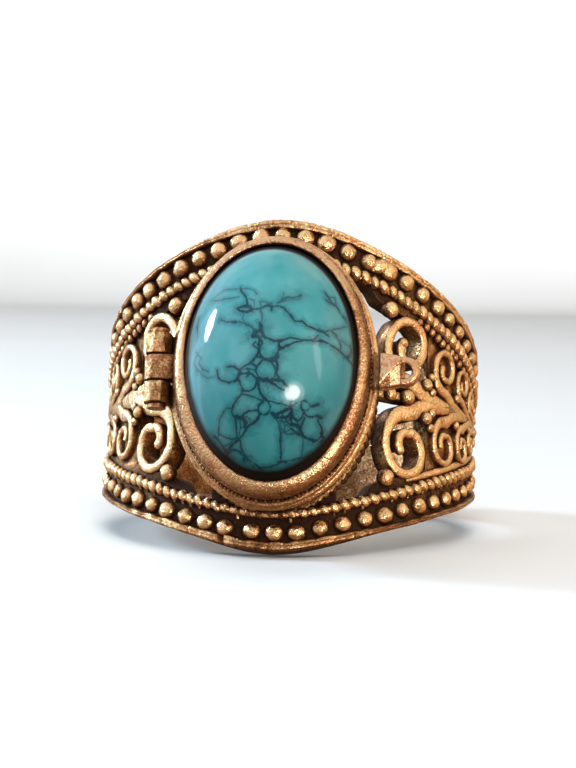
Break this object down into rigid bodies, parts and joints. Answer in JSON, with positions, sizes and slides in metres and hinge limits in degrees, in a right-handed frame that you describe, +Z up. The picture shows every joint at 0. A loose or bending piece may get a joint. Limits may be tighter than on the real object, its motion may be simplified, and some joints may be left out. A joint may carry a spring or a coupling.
{
  "type": "gemstone ring",
  "caption": "Locket ring: a flared openwork band with granulated rails and scrolls, an oval box on it, and a hinged lid whose bezel holds an oval cabochon.",
  "frame": {"origin": "middle of the box round the whole ring, on the surface that it rests on", "axes": "+Z up, -Y the way the stone looks, +X from the lid's hinge to its tongue; the finger axis leans from +Z towards +Y"},
  "size_m": [0.023, 0.0298, 0.0188],
  "materials": {
    "band_brass": "antiqued brass, worn bright on top and oxidised dark in the recesses",
    "lid_brass": "antiqued brass, lightly hammered and worn bright",
    "cabochon": "polished turquoise with a dark blue-black spider-web matrix",
    "pin_brass": "plain brass wire with upset heads"
  },
  "bodies": {
    "ring": {"band": "band_brass", "hinge_pin": "pin_brass"},
    "lid": {"lid": "lid_brass", "stone": "cabochon"}
  },
  "joints": [
    {"name": "lid_hinge", "type": "hinge", "parent": "ring", "child": "lid", "pos_m": [-0.00645, -0.00935, 0.01042], "axis": [0, -0.3153, -0.949], "range_deg": [0, 110]}
  ]
}
